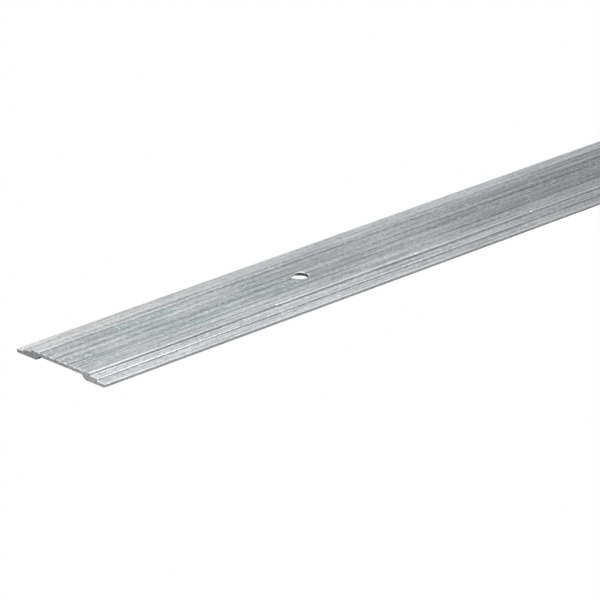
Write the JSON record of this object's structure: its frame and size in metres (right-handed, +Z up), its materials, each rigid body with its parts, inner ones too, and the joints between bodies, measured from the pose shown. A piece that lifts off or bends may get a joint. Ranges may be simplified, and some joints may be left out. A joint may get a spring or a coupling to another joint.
{
  "type": "threshold strip",
  "caption": "Low flat door threshold strip: a grooved tread between stepped side ramps, over a shallow channel, with countersunk screw holes along its centre line.",
  "frame": {"origin": "middle of the strip's footprint, on the plane that its two feet rest on", "axes": "+X along the strip, +Y across it, +Z up from the floor through the tread"},
  "size_m": [0.9144, 0.0444, 0.0032],
  "materials": {
    "mill_aluminium": "mill finish, as extruded, with lengthwise die lines"
  },
  "bodies": {
    "root": {"threshold_strip": "mill_aluminium"}
  },
  "joints": []
}
